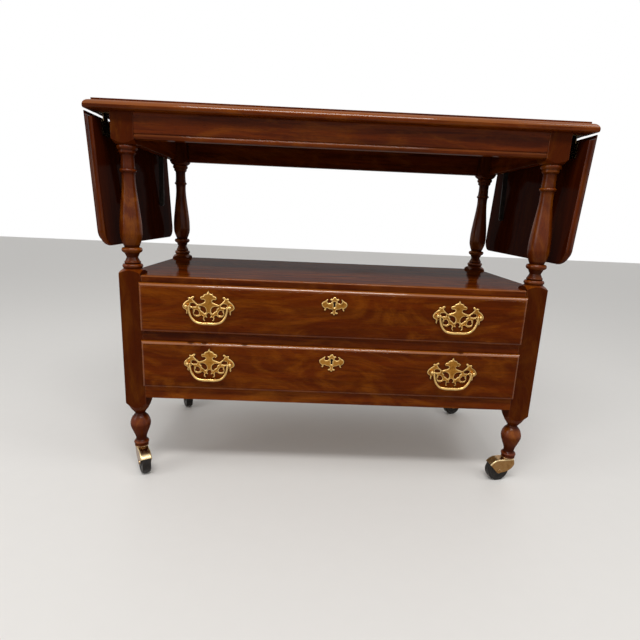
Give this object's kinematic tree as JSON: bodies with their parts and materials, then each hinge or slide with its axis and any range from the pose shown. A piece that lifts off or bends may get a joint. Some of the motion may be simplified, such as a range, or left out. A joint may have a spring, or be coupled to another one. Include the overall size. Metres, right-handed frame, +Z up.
{
  "type": "bar cart",
  "caption": "Mahogany bar cart on brass casters: turned posts, moulded top with hanging drop leaves, open shelf, lipped drawers with pierced brass bail pulls.",
  "frame": {"origin": "on the floor under the middle of the fixed tabletop", "axes": "+Z up, +X to the right seen from the front, -Y towards the drawer fronts"},
  "size_m": [0.9986, 0.4546, 0.792],
  "materials": {
    "mahogany": "gloss",
    "drawer_wood": "satin",
    "dark_iron": "satin",
    "hinge_brass": "aged",
    "polished_brass": "polished",
    "caster_brass": "polished",
    "wheel_rubber": "satin"
  },
  "bodies": {
    "frame": {"tabletop": "mahogany", "top_hinge_plates": "hinge_brass", "hinge_pins": "hinge_brass", "stay_brackets": "dark_iron", "front_apron": "mahogany", "back_apron": "mahogany", "left_apron": "mahogany", "right_apron": "mahogany", "front_left_post": "mahogany", "front_right_post": "mahogany", "rear_left_post": "mahogany", "rear_right_post": "mahogany", "shelf_panel": "mahogany", "divider_rail": "mahogany", "bottom_rail": "mahogany", "back_panel": "mahogany", "left_side_panel": "mahogany", "right_side_panel": "mahogany", "drawer_runners": "drawer_wood", "caster_sockets": "caster_brass"},
    "left_leaf_body": {"left_leaf": "mahogany", "left_leaf_hinge_plates": "hinge_brass"},
    "front_left_stay_body": {"front_left_stay": "dark_iron"},
    "rear_left_stay_body": {"rear_left_stay": "dark_iron"},
    "right_leaf_body": {"right_leaf": "mahogany", "right_leaf_hinge_plates": "hinge_brass"},
    "front_right_stay_body": {"front_right_stay": "dark_iron"},
    "rear_right_stay_body": {"rear_right_stay": "dark_iron"},
    "upper_drawer": {"upper_drawer_front": "mahogany", "upper_drawer_sides": "drawer_wood", "upper_drawer_back": "drawer_wood", "upper_drawer_bottom": "drawer_wood", "upper_left_pull_plate": "polished_brass", "upper_right_pull_plate": "polished_brass", "upper_pull_posts": "polished_brass", "upper_keyhole_plate": "polished_brass"},
    "upper_left_bail_body": {"upper_left_bail": "polished_brass"},
    "upper_right_bail_body": {"upper_right_bail": "polished_brass"},
    "lower_drawer": {"lower_drawer_front": "mahogany", "lower_drawer_sides": "drawer_wood", "lower_drawer_back": "drawer_wood", "lower_drawer_bottom": "drawer_wood", "lower_left_pull_plate": "polished_brass", "lower_right_pull_plate": "polished_brass", "lower_pull_posts": "polished_brass", "lower_keyhole_plate": "polished_brass"},
    "lower_left_bail_body": {"lower_left_bail": "polished_brass"},
    "lower_right_bail_body": {"lower_right_bail": "polished_brass"},
    "front_left_caster": {"front_left_caster_hood": "caster_brass", "front_left_caster_axle": "caster_brass"},
    "front_left_wheel": {"front_left_caster_wheel": "wheel_rubber"},
    "front_right_caster": {"front_right_caster_hood": "caster_brass", "front_right_caster_axle": "caster_brass"},
    "front_right_wheel": {"front_right_caster_wheel": "wheel_rubber"},
    "rear_left_caster": {"rear_left_caster_hood": "caster_brass", "rear_left_caster_axle": "caster_brass"},
    "rear_left_wheel": {"rear_left_caster_wheel": "wheel_rubber"},
    "rear_right_caster": {"rear_right_caster_hood": "caster_brass", "rear_right_caster_axle": "caster_brass"},
    "rear_right_wheel": {"rear_right_caster_wheel": "wheel_rubber"}
  },
  "joints": [
    {"name": "left_leaf_hinge", "type": "hinge", "parent": "frame", "child": "left_leaf_body", "pos_m": [-0.481, 0, 0.7735], "axis": [0, 1, 0], "range_deg": [0, 93]},
    {"name": "front_left_stay_pivot", "type": "hinge", "parent": "frame", "child": "front_left_stay_body", "pos_m": [-0.461, -0.12, 0.75452], "axis": [0, 1, 0], "range_deg": [0, 93]},
    {"name": "rear_left_stay_pivot", "type": "hinge", "parent": "frame", "child": "rear_left_stay_body", "pos_m": [-0.461, 0.12, 0.75452], "axis": [0, 1, 0], "range_deg": [0, 93]},
    {"name": "right_leaf_hinge", "type": "hinge", "parent": "frame", "child": "right_leaf_body", "pos_m": [0.481, 0, 0.7735], "axis": [0, -1, 0], "range_deg": [0, 93]},
    {"name": "front_right_stay_pivot", "type": "hinge", "parent": "frame", "child": "front_right_stay_body", "pos_m": [0.461, -0.12, 0.75452], "axis": [0, -1, 0], "range_deg": [0, 93]},
    {"name": "rear_right_stay_pivot", "type": "hinge", "parent": "frame", "child": "rear_right_stay_body", "pos_m": [0.461, 0.12, 0.75452], "axis": [0, -1, 0], "range_deg": [0, 93]},
    {"name": "upper_drawer_slide", "type": "slide", "parent": "frame", "child": "upper_drawer", "axis": [0, -1, 0], "range_m": [0, 0.3]},
    {"name": "upper_left_bail_pivot", "type": "hinge", "parent": "upper_drawer", "child": "upper_left_bail_body", "pos_m": [-0.2635, -0.22525, 0.39647], "axis": [-1, 0, 0], "range_deg": [-3, 100]},
    {"name": "upper_right_bail_pivot", "type": "hinge", "parent": "upper_drawer", "child": "upper_right_bail_body", "pos_m": [0.2635, -0.22525, 0.39647], "axis": [-1, 0, 0], "range_deg": [-3, 100]},
    {"name": "lower_drawer_slide", "type": "slide", "parent": "frame", "child": "lower_drawer", "axis": [0, -1, 0], "range_m": [0, 0.3]},
    {"name": "lower_left_bail_pivot", "type": "hinge", "parent": "lower_drawer", "child": "lower_left_bail_body", "pos_m": [-0.2635, -0.22525, 0.27097], "axis": [-1, 0, 0], "range_deg": [-3, 100]},
    {"name": "lower_right_bail_pivot", "type": "hinge", "parent": "lower_drawer", "child": "lower_right_bail_body", "pos_m": [0.2635, -0.22525, 0.27097], "axis": [-1, 0, 0], "range_deg": [-3, 100]},
    {"name": "front_left_swivel", "type": "hinge", "parent": "frame", "child": "front_left_caster", "pos_m": [-0.43, -0.1845, 0.06], "axis": [0, 0, 1], "continuous": true},
    {"name": "front_left_wheel_spin", "type": "hinge", "parent": "front_left_caster", "child": "front_left_wheel", "pos_m": [-0.41712, -0.20593, 0.0254], "axis": [0.8572, 0.515, 0], "continuous": true},
    {"name": "front_right_swivel", "type": "hinge", "parent": "frame", "child": "front_right_caster", "pos_m": [0.43, -0.1845, 0.06], "axis": [0, 0, 1], "continuous": true},
    {"name": "front_right_wheel_spin", "type": "hinge", "parent": "front_right_caster", "child": "front_right_wheel", "pos_m": [0.40538, -0.18884, 0.0254], "axis": [0.1736, -0.9848, 0], "continuous": true},
    {"name": "rear_left_swivel", "type": "hinge", "parent": "frame", "child": "rear_left_caster", "pos_m": [-0.43, 0.1845, 0.06], "axis": [0, 0, 1], "continuous": true},
    {"name": "rear_left_wheel_spin", "type": "hinge", "parent": "rear_left_caster", "child": "rear_left_wheel", "pos_m": [-0.41826, 0.16243, 0.0254], "axis": [0.8829, 0.4695, 0], "continuous": true},
    {"name": "rear_right_swivel", "type": "hinge", "parent": "frame", "child": "rear_right_caster", "pos_m": [0.43, 0.1845, 0.06], "axis": [0, 0, 1], "continuous": true},
    {"name": "rear_right_wheel_spin", "type": "hinge", "parent": "rear_right_caster", "child": "rear_right_wheel", "pos_m": [0.40651, 0.17595, 0.0254], "axis": [0.342, -0.9397, 0], "continuous": true}
  ],
  "couplings": [
    {"joint": "front_left_stay_pivot", "follows": "left_leaf_hinge", "ratio": 1},
    {"joint": "rear_left_stay_pivot", "follows": "left_leaf_hinge", "ratio": 1},
    {"joint": "front_right_stay_pivot", "follows": "right_leaf_hinge", "ratio": 1},
    {"joint": "rear_right_stay_pivot", "follows": "right_leaf_hinge", "ratio": 1}
  ]
}
